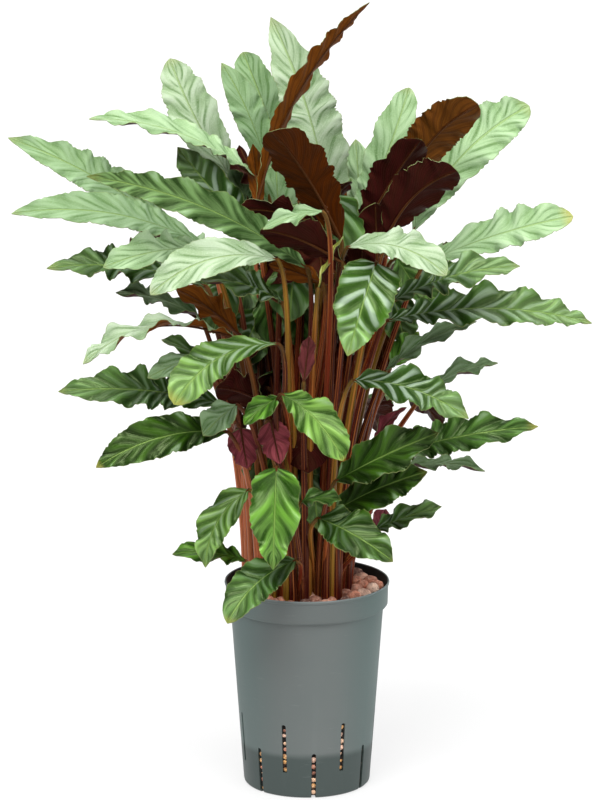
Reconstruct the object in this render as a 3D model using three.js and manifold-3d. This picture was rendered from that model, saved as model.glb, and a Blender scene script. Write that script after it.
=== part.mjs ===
// A wavy-leaved velvet calathea growing in a slotted plant pot filled with clay granules.
// Millimetres, +Z up. The origin is the centre of the pot's flat underside, and the front faces -Y.
import * as THREE from "three";
import { mergeVertices } from "three/addons/utils/BufferGeometryUtils.js";
import Module from "manifold-3d";

const wasm = await Module();
wasm.setup();

// Pot: the body tapers from the base to the shoulder, where it steps out to the band and the rim
const POT_HEIGHT = 190;
const BASE_RADIUS = 57.8;
const SHOULDER_RADIUS = 70;
const BAND_RADIUS = 73.6;
const RIM_RADIUS = 75;
const SHOULDER = 167;
const BAND_FOOT = 169;
const LIP = 1;
const CORNER = 3;
const WALL = 1.8;
const FLOOR = 2;
const POT_SIDES = 28;

// Upright slots: turn is the first one's angle from the front, and from and to are its heights
const SLOTS_A_ROW = 7;
const SLOT_WIDTH = 4;
const SLOT_INNER_RADIUS = 48;
const SLOT_OUTER_RADIUS = 88;
const UPPER_SLOT = { turn: -19.7, from: 24, to: 70 };
const LOWER_SLOT = { turn: 6, from: -1, to: 43 };

// Clay granules, clear of the pot by a small gap
const CLEAR = 0.3;
const FILL_TOP = 172;
const GRANULE_PITCH = 16.6;
const GRANULE_RISE = 8;
const GRID_COLUMNS = 24;
const GRID_ROWS = 18;

// Shoots, each standing in its own plain hole in the granules
const SHOOTS = 9;
const SHOOT_RING = 37;
const CLUMP_X = -8;
const CLUMP_Y = -2;
const HOLE_RADIUS = 11.5;
const HOLE_FLOOR = 145;
const HOLE_SIDES = 8;
const CROWN_RADIUS = 9.8;
const CROWN_TOP = 186;
const CROWN_SIDES = 8;

// Leaf stalks: radius at the foot and at the neck, and how the curve between them rises and leans
const STALK_FOOT = 4;
const STALK_TIP = 1.9;
const STALK_SIDES = 4;
const STALK_STEPS = 4;
const STALK_RISE = 0.5;
const STALK_LEAN = 0.8;
const STALK_HANDLE = 24;
const FOOT_RING = 4.5;
const FOOT_DEPTH = 8;

// Leaf blades: the two halves fold up from the midrib, and their margins rise and fall in waves
const BLADE_THICKNESS = 1.2;
const NECK_HALF_WIDTH = 1.5;
const BASE_POWER = 0.9;
const TIP_POWER = 0.85;
const FOLD = 14;
const WAVE_LENGTH = 26;
const WAVE_HEIGHT = 3.8;
const WAVE_SHARE = 0.5;
const WAVE_SLIP = 0.3;
const WAVE_UNEVEN = 0.35;
const WAVE_DRIFT = 9;
const CREST_BULGE = 0.06;
const YOUNG_ROOT = 0.8;
const YOUNG_SEED = 60;

const UP = new THREE.Vector3(0, 0, 1);
const radians = THREE.MathUtils.degToRad;

const potPlastic = new THREE.MeshStandardMaterial({ color: 0x5f6f70, roughness: 0.55, metalness: 0 });
const clay = new THREE.MeshStandardMaterial({ color: 0x8d4f3c, roughness: 0.95, metalness: 0 });
const stalkSkin = new THREE.MeshStandardMaterial({ color: 0x7a2f26, roughness: 0.5, metalness: 0 });
const leafSkin = new THREE.MeshStandardMaterial({ color: 0x4d8a3c, roughness: 0.6, metalness: 0 });

// Solids for cutting and joining

function solid(geometry) {
  const bare = geometry.clone();
  bare.deleteAttribute("normal");
  bare.deleteAttribute("uv");
  const merged = mergeVertices(bare, 1e-4);
  return new wasm.Manifold(
    new wasm.Mesh({
      numProp: 3,
      vertProperties: new Float32Array(merged.attributes.position.array),
      triVerts: new Uint32Array(merged.index.array),
    }),
  );
}

// Joining can seal small hollows, which come out as separate pieces here: only the outer skin is kept.
function outerSkin(body) {
  return body.decompose().reduce((best, piece) => (piece.volume() > best.volume() ? piece : best));
}

function geometryOf(body) {
  const mesh = body.getMesh();
  const geometry = new THREE.BufferGeometry();
  geometry.setAttribute("position", new THREE.BufferAttribute(mesh.vertProperties, 3));
  geometry.setIndex(new THREE.BufferAttribute(mesh.triVerts, 1));
  geometry.computeVertexNormals();
  return geometry;
}

function named(name, geometry, material) {
  const mesh = new THREE.Mesh(geometry, material);
  mesh.name = name;
  return mesh;
}

// Skins a row of rings with as many points each, and closes both ends.
// crossed says which sides of the ring are split along the other diagonal.
function loft(rings, crossed = () => false) {
  const around = rings[0].length;
  const faces = [];
  for (let i = 0; i + 1 < rings.length; i++) {
    for (let j = 0; j < around; j++) {
      const a = i * around + j;
      const b = i * around + ((j + 1) % around);
      const c = b + around;
      const d = a + around;
      if (crossed(j)) faces.push(a, b, d, b, c, d);
      else faces.push(a, b, c, a, c, d);
    }
  }
  const last = (rings.length - 1) * around;
  for (let j = 1; j + 1 < around; j++) {
    faces.push(0, j + 1, j);
    faces.push(last, last + j, last + j + 1);
  }
  const geometry = new THREE.BufferGeometry();
  geometry.setFromPoints(rings.flat());
  geometry.setIndex(faces);
  geometry.computeVertexNormals();
  return geometry;
}

function turned(profile, sides) {
  const points = profile.map(([radius, height]) => new THREE.Vector2(radius, height));
  return new THREE.LatheGeometry(points, sides).rotateX(Math.PI / 2);
}

// Pot: a tapered cup with a wider band round its mouth and two rows of upright slots

// The inner face from the floor up, drawn in by a gap.
function innerFace(gap) {
  return [
    [BASE_RADIUS - WALL - gap, FLOOR + gap],
    [SHOULDER_RADIUS - WALL - gap, SHOULDER],
    [BAND_RADIUS - WALL - gap, BAND_FOOT + LIP],
    [RIM_RADIUS - WALL - gap, POT_HEIGHT - LIP],
  ];
}

function slotCutter({ turn, from, to }, index) {
  const outline = new THREE.Shape();
  const half = SLOT_WIDTH / 2;
  outline.moveTo(-half, from);
  outline.lineTo(half, from);
  outline.lineTo(half, to - half);
  outline.absarc(0, to - half, half, 0, Math.PI, false);
  outline.closePath();
  const depth = SLOT_OUTER_RADIUS - SLOT_INNER_RADIUS;
  const cutter = new THREE.ExtrudeGeometry(outline, { depth, bevelEnabled: false, curveSegments: 2 });
  cutter.rotateX(Math.PI / 2);
  cutter.translate(0, -SLOT_INNER_RADIUS, 0);
  cutter.rotateZ(radians(turn + (index * 360) / SLOTS_A_ROW));
  return solid(cutter);
}

function makePot() {
  const profile = [
    [0, 0],
    [BASE_RADIUS - CORNER, 0],
    [BASE_RADIUS - CORNER * 0.3, CORNER * 0.3],
    [BASE_RADIUS, CORNER],
    [SHOULDER_RADIUS, SHOULDER],
    [BAND_RADIUS, BAND_FOOT],
    [RIM_RADIUS - LIP, POT_HEIGHT - LIP * 3],
    [RIM_RADIUS, POT_HEIGHT - LIP],
    [RIM_RADIUS - LIP, POT_HEIGHT],
    ...innerFace(0).reverse(),
    [0, FLOOR],
  ];
  let pot = solid(turned(profile, POT_SIDES));
  for (let i = 0; i < SLOTS_A_ROW; i++) {
    pot = pot.subtract(slotCutter(UPPER_SLOT, i));
    pot = pot.subtract(slotCutter(LOWER_SLOT, i));
  }
  return named("pot", geometryOf(pot), potPlastic);
}

// Shoot feet: one in the middle of the clump and the others in a ring round it, from the front clockwise

function shootPlace(number) {
  if (number === SHOOTS) return new THREE.Vector2(CLUMP_X, CLUMP_Y);
  const turn = radians(-90 - ((number - 1) * 360) / (SHOOTS - 1));
  return new THREE.Vector2(CLUMP_X + SHOOT_RING * Math.cos(turn), CLUMP_Y + SHOOT_RING * Math.sin(turn));
}

// Granules: one body that fills the pot, with pebbles raised on its top in a triangular grid

// A number from 0 to 1 that looks random but is always the same for one grid point.
function chance(a, b) {
  return Math.abs(Math.sin(a * 12.9898 + b * 78.233) * 43758.5453) % 1;
}

// Every third point of the grid is a pebble's peak, and the points between are the dips.
function pebbledBlock() {
  const step = GRANULE_PITCH / Math.sqrt(3);
  const rowStep = GRANULE_PITCH / 2;
  const wide = GRID_COLUMNS * step;
  const deep = GRID_ROWS * rowStep;
  const block = new THREE.BoxGeometry(wide, deep, 1, GRID_COLUMNS, GRID_ROWS, 1);
  const corners = block.attributes.position;
  for (let k = 0; k < corners.count; k++) {
    const column = Math.round(corners.getX(k) / step);
    const row = Math.round(corners.getY(k) / rowStep);
    const peak = THREE.MathUtils.euclideanModulo(column + row, 3) === 0;
    const rise = peak ? 0.6 + 0.4 * chance(column, row) : 0.15 * chance(row, column);
    const top = FILL_TOP + GRANULE_RISE * rise;
    corners.setX(k, (column - row / 2) * step);
    corners.setZ(k, corners.getZ(k) > 0 ? top : FLOOR);
  }
  return solid(block);
}

function makeGranules() {
  const inside = [[0, FLOOR + CLEAR], ...innerFace(CLEAR), [0, POT_HEIGHT - LIP]];
  let fill = solid(turned(inside, POT_SIDES)).intersect(pebbledBlock());
  for (let number = 1; number <= SHOOTS; number++) {
    const place = shootPlace(number);
    const hole = new THREE.CylinderGeometry(HOLE_RADIUS, HOLE_RADIUS, POT_HEIGHT, HOLE_SIDES);
    hole.rotateX(Math.PI / 2);
    hole.translate(place.x, place.y, HOLE_FLOOR + POT_HEIGHT / 2);
    fill = fill.subtract(solid(hole));
  }
  return named("clay_granules", geometryOf(fill), clay);
}

// Leaves: a row gives the shoot, the neck where the stalk ends, the tip, the width and the way the upper
// face looks. arch lifts the middle of the midrib towards the upper face, bend pushes it to the side,
// twist turns the blade from neck to tip in degrees. A larger basePower makes a longer, narrower base,
// and a larger tipPower a longer point.

function leafRow(shoot, neck, tip, width, face, extra = {}) {
  const usual = { arch: 0.09, bend: 0, twist: 0, basePower: BASE_POWER, tipPower: TIP_POWER };
  const row = { ...usual, ...extra };
  row.shoot = shoot;
  row.width = width;
  row.neck = new THREE.Vector3(...neck);
  row.reach = new THREE.Vector3(...tip).sub(row.neck);
  row.length = row.reach.length();
  row.rise = new THREE.Vector3(...face).projectOnPlane(row.reach.clone().normalize()).normalize();
  row.side = row.reach.clone().normalize().cross(row.rise);
  return row;
}

// The midrib's place and its cross directions at s, from 0 at the neck to 1 at the tip.
function midribAt(row, s) {
  const sag = 4 * s * (1 - s) * row.length;
  const slope = 4 * (1 - 2 * s) * row.length;
  const place = row.neck.clone().addScaledVector(row.reach, s);
  place.addScaledVector(row.rise, row.arch * sag).addScaledVector(row.side, row.bend * sag);
  const along = row.reach.clone().addScaledVector(row.rise, row.arch * slope);
  along.addScaledVector(row.side, row.bend * slope).normalize();
  const up = row.rise.clone().projectOnPlane(along).normalize();
  up.applyAxisAngle(along, radians(row.twist * s));
  return { place, along, up, side: along.clone().cross(up) };
}

function halfWidth(row, s) {
  const shape = (x) => x ** row.basePower * (1 - x) ** row.tipPower;
  const widest = row.basePower / (row.basePower + row.tipPower);
  return Math.max(NECK_HALF_WIDTH, ((row.width / 2) * shape(s)) / shape(widest));
}

// Six points round the blade's section: the upper face from margin to margin, then the lower face back.
// crest is 1 on a wave's crest and -1 in its trough, and pairing says if both margins rise together.
function bladeRing(row, s, crest, lead) {
  const { place, up, side } = midribAt(row, s);
  const half = halfWidth(row, s) * (1 + CREST_BULGE * crest);
  const tilt = Math.sin(radians(FOLD)) * half;
  const spread = Math.cos(radians(FOLD)) * half;
  const height = Math.min(WAVE_HEIGHT, WAVE_SHARE * half) * Math.sqrt(Math.sin(Math.PI * s));
  const wave = height * crest * (1 + WAVE_UNEVEN * Math.sin(WAVE_DRIFT * s + row.seed));
  const left = tilt + wave;
  const right = tilt + wave * row.pairing;
  const start = place.clone().addScaledVector(midribAt(row, 0).along, lead);
  const at = (across, lift) => start.clone().addScaledVector(side, across).addScaledVector(up, lift);
  const skin = BLADE_THICKNESS / 2;
  return [
    at(-spread, left + skin),
    at(0, skin),
    at(spread, right + skin),
    at(spread, right - skin),
    at(0, -skin),
    at(-spread, left - skin),
  ];
}

// Crests and troughs follow each other along the blade, each slipped a little to space them unevenly.
// lead moves the blade along its neck: clear of the stalk's end, or into it where the two are fused.
function makeBlade(row, lead) {
  const steps = 2 * Math.max(2, Math.round(row.length / WAVE_LENGTH));
  const rings = [];
  for (let i = 0; i <= steps; i++) {
    const even = i / steps;
    const slip = WAVE_SLIP * even * (1 - even) * Math.sin(2 * Math.PI * even + 2 * row.seed);
    rings.push(bladeRing(row, even + slip, i % 2 ? 1 : -1, lead));
  }
  return loft(rings, (j) => j % 3 === 0);
}

function ringRound(centre, along, start, radius, sides) {
  const across = start.clone().projectOnPlane(along).normalize();
  const other = along.clone().cross(across);
  const ring = [];
  for (let k = 0; k < sides; k++) {
    const turn = (2 * Math.PI * k) / sides;
    const point = centre.clone().addScaledVector(across, radius * Math.cos(turn));
    ring.push(point.addScaledVector(other, radius * Math.sin(turn)));
  }
  return { ring, across };
}

// A stalk rises straight from its foot in the shoot and leans over into the blade's midrib.
function makeStalk(row, foot) {
  const into = midribAt(row, 0).along;
  const leaning = into.clone().addScaledVector(UP, STALK_LEAN).normalize();
  const lower = foot.clone().addScaledVector(UP, STALK_RISE * row.neck.distanceTo(foot));
  const upper = row.neck.clone().addScaledVector(leaning, -STALK_HANDLE);
  const curve = new THREE.CubicBezierCurve3(foot, lower, upper, row.neck);
  const rings = [];
  let start = new THREE.Vector3(1, 0, 0);
  for (let k = 0; k <= STALK_STEPS; k++) {
    const s = k / STALK_STEPS;
    const along = k === STALK_STEPS ? into : curve.getTangent(s);
    const radius = STALK_TIP + (STALK_FOOT - STALK_TIP) * (1 - s) ** 0.8;
    const turn = ringRound(curve.getPoint(s), along, start, radius, STALK_SIDES);
    rings.push(turn.ring);
    start = turn.across;
  }
  return loft(rings);
}

function makeShoot(number, rows) {
  const place = shootPlace(number);
  const crown = turned(
    [
      [0, HOLE_FLOOR + CLEAR],
      [CROWN_RADIUS, HOLE_FLOOR + CLEAR],
      [CROWN_RADIUS, CROWN_TOP],
      [0, CROWN_TOP],
    ],
    CROWN_SIDES,
  );
  crown.translate(place.x, place.y, 0);
  let shoot = solid(crown);
  for (const row of rows) {
    const outward = new THREE.Vector2(row.neck.x, row.neck.y).sub(place).normalize();
    const foot = new THREE.Vector3(place.x, place.y, CROWN_TOP - FOOT_DEPTH);
    foot.x += FOOT_RING * outward.x;
    foot.y += FOOT_RING * outward.y;
    shoot = shoot.add(solid(makeStalk(row, foot)));
    if (row.small) shoot = shoot.add(solid(makeBlade(row, -YOUNG_ROOT)));
  }
  return named("shoot_" + number, geometryOf(outerSkin(shoot)), stalkSkin);
}

// Large leaves, each a piece of its own
const leaves = [
  // Left side, from the top down
  leafRow(4, [-45, 5, 560], [-192, -20, 616], 40, [0, -3, 9], { arch: 0.08, bend: 0.04 }),
  leafRow(4, [-66, 35, 552], [-123, 60, 658], 46, [0, -9, 4],
    { bend: -0.045, basePower: 0.8, tipPower: 0.65 }),
  leafRow(4, [-35, 60, 555], [-77, 80, 651], 34, [3, -9, 3], { bend: 0.01 }),
  leafRow(5, [-24, 80, 574], [-58, 100, 658], 36, [0, -9, 2], { tipPower: 0.6 }),
  leafRow(4, [-50, 15, 505], [-115, 10, 586], 42, [-2, -9, 3]),
  leafRow(3, [-109, 10, 502], [-267, 30, 591], 40, [0, -7, 7]),
  leafRow(3, [-90, -10, 500], [-260, -40, 535], 42, [0, -6, 8], { arch: 0.07, bend: 0.05 }),
  leafRow(1, [0, -60, 490], [-190, -105, 580], 38, [0, -8, 6], { arch: 0.05, bend: 0.05, basePower: 0.8 }),
  leafRow(3, [-90, -15, 465], [-230, -35, 485], 40, [0, -5, 8]),
  leafRow(2, [-90, -45, 505], [-178, -75, 494], 38, [0, -6, 7], { tipPower: 0.75 }),
  leafRow(1, [-26, -95, 505], [-135, -130, 481], 42, [0, -7, 7], { arch: 0.12, bend: 0.08, tipPower: 0.7 }),
  leafRow(3, [-95, 0, 432], [-170, -20, 460], 32, [0, -4, 9]),
  leafRow(1, [-22, -72, 462], [-95, -105, 490], 40, [0, -5, 8]),
  leafRow(2, [-60, -75, 430], [-195, -105, 414], 30, [0, 4, 8], { arch: 0.17, twist: -60, tipPower: 0.7 }),
  leafRow(2, [-25, -95, 430], [-115, -135, 385], 42, [0, -7, 7],
    { arch: 0.13, bend: 0.09, basePower: 1.2, tipPower: 0.55 }),
  leafRow(3, [-75, -30, 360], [-220, -55, 378], 42, [0, -7, 7]),
  leafRow(2, [-70, -70, 345], [-185, -100, 320], 42, [-1, -8, 5], { bend: 0.06 }),
  leafRow(2, [-52, -62, 290], [-90, -85, 225], 34, [-3, -8, 4], { bend: 0.1, basePower: 0.7 }),
  // Front, from the top down
  leafRow(9, [30, -60, 515], [-30, -110, 620], 50, [0, 8, 6], { basePower: 0.8, tipPower: 0.5 }),
  leafRow(8, [30, -80, 500], [-40, -105, 533], 44, [0, 8, 6], { tipPower: 0.7 }),
  leafRow(8, [60, -85, 500], [35, -120, 425], 57, [0, -9, 4], { basePower: 0.4 }),
  leafRow(8, [35, -80, 513], [120, -115, 495], 38, [0, -6, 8], { arch: 0.12, bend: -0.07, tipPower: 0.6 }),
  leafRow(1, [-22, -95, 385], [31, -130, 334], 38, [0, -8, 6],
    { bend: -0.06, basePower: 0.8, tipPower: 0.65 }),
  leafRow(1, [-27, -97, 319], [-30, -120, 233], 48, [0, -9, 4], { basePower: 0.45 }),
  leafRow(1, [-10, -80, 230], [-70, -125, 185], 42, [0, -6, 8],
    { bend: 0.06, basePower: 0.7, tipPower: 0.7 }),
  leafRow(8, [10, -85, 270], [75, -120, 240], 46, [0, -7, 7], { basePower: 0.7 }),
  // Right side, from the top down
  leafRow(9, [-45, -10, 540], [55, 10, 715], 32, [-7, 5, 3], { tipPower: 0.8 }),
  leafRow(5, [25, 95, 485], [-33, 135, 685], 57, [0, -9, 3], { bend: 0.04, basePower: 0.8 }),
  leafRow(6, [40, 40, 495], [92, 70, 630], 40, [-1, -9, 3], { bend: 0.03, tipPower: 0.6 }),
  leafRow(6, [95, 30, 505], [200, 60, 615], 54, [-2, -8, 5], { bend: -0.06, tipPower: 0.55 }),
  leafRow(7, [80, 5, 535], [150, -25, 630], 48, [0, 9, 4], { bend: 0.07, basePower: 0.8, tipPower: 0.5 }),
  leafRow(9, [45, -15, 505], [100, -35, 600], 42, [0, 9, 4], { tipPower: 0.6 }),
  leafRow(8, [70, -45, 515], [130, -80, 580], 52, [0, 8, 5], { bend: 0.07, basePower: 0.8, tipPower: 0.55 }),
  leafRow(7, [105, -10, 485], [235, -25, 530], 42, [0, -7, 7], { arch: 0.06, tipPower: 0.55 }),
  leafRow(8, [75, -65, 462], [185, -90, 498], 38, [0, -6, 8]),
  leafRow(7, [70, -45, 440], [250, -65, 442], 46, [0, -6, 8], { arch: 0.1 }),
  leafRow(8, [40, -85, 395], [140, -125, 370], 38, [0, -7, 7], { bend: -0.045 }),
  leafRow(7, [60, -30, 310], [205, -50, 345], 38, [0, -7, 7], { arch: 0.06 }),
  leafRow(8, [25, -70, 300], [115, -95, 350], 44, [0, -8, 6], { arch: 0.05 }),
  leafRow(8, [25, -60, 270], [106, -80, 311], 42, [0, -8, 6]),
  // Back, from the top down
  leafRow(5, [-15, 90, 520], [-20, 205, 560], 52, [0, 3, 9]),
  leafRow(4, [-75, 70, 470], [-165, 150, 470], 50, [0, 3, 9]),
  leafRow(6, [60, 75, 450], [145, 165, 460], 50, [0, 3, 9]),
  leafRow(5, [-25, 85, 430], [-55, 205, 400], 52, [0, 3, 9], { arch: 0.15 }),
  leafRow(6, [70, 60, 350], [125, 130, 300], 48, [0, 3, 9], { arch: 0.15 }),
  leafRow(4, [-50, 75, 370], [-105, 160, 330], 50, [0, 3, 9], { arch: 0.15 }),
  leafRow(6, [40, 80, 335], [70, 165, 285], 48, [0, 3, 9], { arch: 0.15 }),
  leafRow(5, [5, 80, 310], [20, 180, 250], 48, [0, 3, 9], { arch: 0.15 }),
  leafRow(4, [-35, 65, 290], [-45, 140, 225], 44, [0, 3, 9], { arch: 0.15 }),
];

// Small young leaves, each fused to its stalk
const youngLeaves = [
  leafRow(2, [-60, -55, 430], [-115, -75, 475], 28, [0, 8, 5]),
  leafRow(3, [-90, 0, 390], [-130, -10, 415], 22, [0, -5, 8]),
  leafRow(2, [-95, -60, 410], [-140, -75, 395], 24, [0, -7, 6]),
  leafRow(2, [-62, -85, 373], [-91, -100, 349], 30, [0, -7, 7]),
  leafRow(1, [-25, -85, 380], [-55, -105, 360], 24, [0, -7, 7]),
  leafRow(2, [-59, -60, 346], [-53, -75, 313], 30, [0, 9, -4]),
  leafRow(1, [-32, -79, 357], [-24, -90, 321], 30, [0, 9, -4]),
  leafRow(2, [-55, -45, 220], [-120, -60, 230], 30, [0, -5, 8]),
  leafRow(1, [-5, -85, 285], [30, -100, 290], 22, [0, -5, 8]),
  leafRow(7, [85, -5, 295], [160, -15, 295], 22, [0, -3, 9]),
  leafRow(8, [60, -30, 245], [120, -45, 270], 26, [0, -6, 8], { arch: 0.03 }),
  leafRow(7, [105, -20, 370], [170, -25, 397], 22, [0, -4, 9]),
  leafRow(5, [50, 115, 492], [45, 135, 572], 34, [0, -9, 3]),
  leafRow(9, [10, -35, 525], [-65, -50, 540], 28, [0, 8, 6]),
  leafRow(7, [70, -25, 390], [150, -40, 438], 22, [0, -5, 8]),
  leafRow(7, [75, -5, 390], [100, 0, 420], 24, [0, -8, 4]),
  leafRow(9, [-40, 0, 455], [-30, -5, 410], 30, [0, -8, 5]),
  leafRow(9, [-10, 5, 450], [-5, 0, 405], 28, [0, -8, 5]),
  leafRow(2, [-40, -55, 370], [-80, -70, 385], 40, [0, 9, 3]),
  leafRow(5, [-22, 60, 420], [-30, 88, 345], 40, [0, 9, 3]),
  leafRow(5, [5, 60, 430], [5, 90, 350], 42, [0, 9, 3]),
  leafRow(6, [40, 45, 425], [50, 62, 350], 40, [0, 9, 3]),
  leafRow(4, [-55, 45, 400], [-70, 70, 330], 38, [0, 9, 3]),
  leafRow(5, [5, 58, 300], [5, 82, 228], 40, [0, 9, 3]),
  leafRow(6, [35, 50, 290], [50, 72, 215], 40, [0, 9, 3]),
  leafRow(8, [13, -108, 550], [-38, -118, 536], 18, [0, -6, 8]),
  leafRow(7, [60, -10, 322], [89, -15, 354], 14, [-5, 8, 3]),
  leafRow(1, [-3, -85, 394], [2, -92, 436], 16, [0, 9, -2]),
];

const plant = new THREE.Group();
plant.add(makePot(), makeGranules());
leaves.forEach((row, index) => {
  row.seed = index + 1;
  row.pairing = index % 2 ? 1 : -1;
  plant.add(named("leaf_" + String(index + 1).padStart(2, "0"), makeBlade(row, CLEAR), leafSkin));
});
youngLeaves.forEach((row, index) => {
  row.small = true;
  row.seed = index + YOUNG_SEED;
  row.pairing = index % 2 ? 1 : -1;
});
for (let number = 1; number <= SHOOTS; number++) {
  const own = [...leaves, ...youngLeaves].filter((row) => row.shoot === number);
  plant.add(makeShoot(number, own));
}

export default plant;
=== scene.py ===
# A wavy-leaved velvet calathea in a slotted pot of clay granules, dressed for a studio picture.
import math
import random

import bmesh
import bpy
from mathutils import Matrix, Vector


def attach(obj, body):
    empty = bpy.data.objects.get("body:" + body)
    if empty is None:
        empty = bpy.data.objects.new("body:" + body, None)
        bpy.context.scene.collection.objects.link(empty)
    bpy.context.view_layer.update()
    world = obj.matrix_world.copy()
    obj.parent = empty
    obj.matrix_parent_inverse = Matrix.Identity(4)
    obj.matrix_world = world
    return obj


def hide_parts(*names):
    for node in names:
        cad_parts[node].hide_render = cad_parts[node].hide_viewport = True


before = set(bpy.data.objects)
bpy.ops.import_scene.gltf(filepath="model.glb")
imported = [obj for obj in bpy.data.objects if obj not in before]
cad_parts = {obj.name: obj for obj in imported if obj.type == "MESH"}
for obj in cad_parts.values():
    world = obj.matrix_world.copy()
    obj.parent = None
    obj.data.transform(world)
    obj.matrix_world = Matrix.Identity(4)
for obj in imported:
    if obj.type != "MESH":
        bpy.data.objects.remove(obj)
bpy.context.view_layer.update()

# The studio is a pale matt table, lit a little from below, under wide soft lamps. It is seen through
# a long lens from a little above the pot, as a grower photographs a plant for a catalogue.
CAMERA_AIM = Vector((-0.0063, 0, 0.3575))
CAMERA_DISTANCE = 3.6
CAMERA_RISE = 13.2
LENS = 180
FILM_WIDTH = 36
SEEN_DEPTH = 60
FLOOR_REACH = 14
FLOOR_PALE = (0.2, 0.2, 0.2)
FLOOR_DIM = tuple(0.97 * c for c in FLOOR_PALE)
FLOOR_GLOW = 0.66
WHITE = (1, 1, 1)
SKY = (1, 0.99, 0.96)
SKY_STRENGTH = 0.05


class Socket:
    """What leaves a material's node: a number, a vector or a colour."""

    def __init__(self, finish, out):
        self.finish = finish
        self.out = out

    def __add__(self, other):
        return self.finish.math("ADD", self, other)

    def __sub__(self, other):
        return self.finish.math("SUBTRACT", self, other)

    def __rsub__(self, other):
        return self.finish.math("SUBTRACT", other, self)

    def __mul__(self, other):
        return self.finish.math("MULTIPLY", self, other)

    def __mod__(self, other):
        return self.finish.math("FLOORED_MODULO", self, other)

    def __abs__(self):
        return self.finish.math("ABSOLUTE", self)

    __radd__ = __add__
    __rmul__ = __mul__


class Finish:
    """A material, written as expressions on what its nodes give."""

    def __init__(self, name):
        self.material = bpy.data.materials.new(name)
        self.material.use_nodes = True
        self.tree = self.material.node_tree
        self.shader = self.tree.nodes["Principled BSDF"]

    def feed(self, socket, value):
        if isinstance(value, Socket):
            self.tree.links.new(value.out, socket)
        else:
            socket.default_value = (*value, 1) if socket.type == "RGBA" else value

    def node(self, kind, settings, values, out=0):
        made = self.tree.nodes.new(kind)
        for name, value in settings.items():
            setattr(made, name, value)
        for name, value in values.items():
            self.feed(made.inputs[name], value)
        return Socket(self, made.outputs[out])

    def math(self, operation, *terms):
        return self.node("ShaderNodeMath", {"operation": operation}, dict(enumerate(terms)))

    def place(self):
        return self.node("ShaderNodeTexCoord", {}, {}, "Object")

    def spread(self, x, y, z):
        """Object coordinates, stretched along each axis."""
        return self.node("ShaderNodeMapping", {}, {"Vector": self.place(), "Scale": (x, y, z)})

    def axis(self, letter):
        """How far a point lies along an axis, in metres."""
        return self.node("ShaderNodeSeparateXYZ", {}, {0: self.place()}, letter)

    def joined(self, x, y, z):
        return self.node("ShaderNodeCombineXYZ", {}, {0: x, 1: y, 2: z})

    def own(self, name, out="Fac"):
        """An attribute of the piece's own mesh."""
        return self.node("ShaderNodeAttribute", {"attribute_name": name}, {}, out)

    def noise(self, vector, scale, detail=2):
        return self.node("ShaderNodeTexNoise", {}, {"Vector": vector, "Scale": scale, "Detail": detail})

    def rise(self, value, low, high):
        """0 below low, 1 above high, and smooth between."""
        ends = {"Value": value, "From Min": low, "From Max": high}
        return self.node("ShaderNodeMapRange", {"interpolation_type": "SMOOTHSTEP"}, ends)

    def mix(self, share, first, second, blend="MIX"):
        kinds = {"data_type": "RGBA", "blend_type": blend}
        return self.node("ShaderNodeMix", kinds, {0: share, 6: first, 7: second}, 2)

    def coats(self, colour, *layers):
        """A colour with others laid over it in turn, each where its share says."""
        for share, over in layers:
            colour = self.mix(share, colour, over)
        return colour

    def bump(self, height, distance):
        return self.node("ShaderNodeBump", {}, {"Height": height, "Distance": distance})

    def skin(self, **sockets):
        """Sets the shader's own sockets, named with _ for a space."""
        for name, value in sockets.items():
            self.feed(self.shader.inputs[name.replace("_", " ")], value)
        return self.material


def stood(name, data):
    """An object made from its data and put into the scene."""
    piece = bpy.data.objects.new(name, data)
    bpy.context.scene.collection.objects.link(piece)
    return piece


def made_object(name, bm, *materials):
    mesh = bpy.data.meshes.new(name)
    bm.to_mesh(mesh)
    bm.free()
    for material in materials:
        mesh.materials.append(material)
    return stood(name, mesh)


def make_camera():
    data = bpy.data.cameras.new("camera")
    data.lens = LENS
    data.sensor_width = FILM_WIDTH
    data.clip_end = SEEN_DEPTH
    camera = stood("camera", data)
    rise = math.radians(CAMERA_RISE)
    camera.location = CAMERA_AIM + CAMERA_DISTANCE * Vector((0, -math.cos(rise), math.sin(rise)))
    camera.rotation_euler = (math.radians(90 - CAMERA_RISE), 0, 0)
    bpy.context.scene.camera = camera


def make_floor():
    bm = bmesh.new()
    bmesh.ops.create_grid(bm, x_segments=1, y_segments=1, size=FLOOR_REACH)
    paint = Finish("studio_floor")
    mottle = paint.noise(paint.place(), 0.8)
    pale = paint.mix(mottle, FLOOR_PALE, FLOOR_DIM)
    lit = paint.skin(Base_Color=pale, Roughness=0.8, Emission_Color=WHITE, Emission_Strength=FLOOR_GLOW)
    floor = made_object("floor", bm, lit)


def make_lamp(name, turn, height, strength, softness):
    """A lamp turn degrees to the right of the camera, height degrees up and softness degrees wide."""
    data = bpy.data.lights.new(name, "SUN")
    data.energy = strength
    data.angle = math.radians(softness)
    lamp = stood(name, data)
    lamp.rotation_euler = (math.radians(90 - height), 0, math.radians(turn))


make_camera()
make_floor()
make_lamp("key_lamp", turn=-20, height=58, strength=4.7, softness=44)
make_lamp("fill_lamp", turn=48, height=34, strength=1.5, softness=50)
make_lamp("top_lamp", turn=170, height=68, strength=2.6, softness=60)
world = bpy.data.worlds.new("studio")
world.use_nodes = True
sky = world.node_tree.nodes["Background"].inputs
sky["Color"].default_value = (*SKY, 1)
sky["Strength"].default_value = SKY_STRENGTH
bpy.context.scene.world = world
bpy.context.scene.view_settings.view_transform = "Standard"

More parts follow.
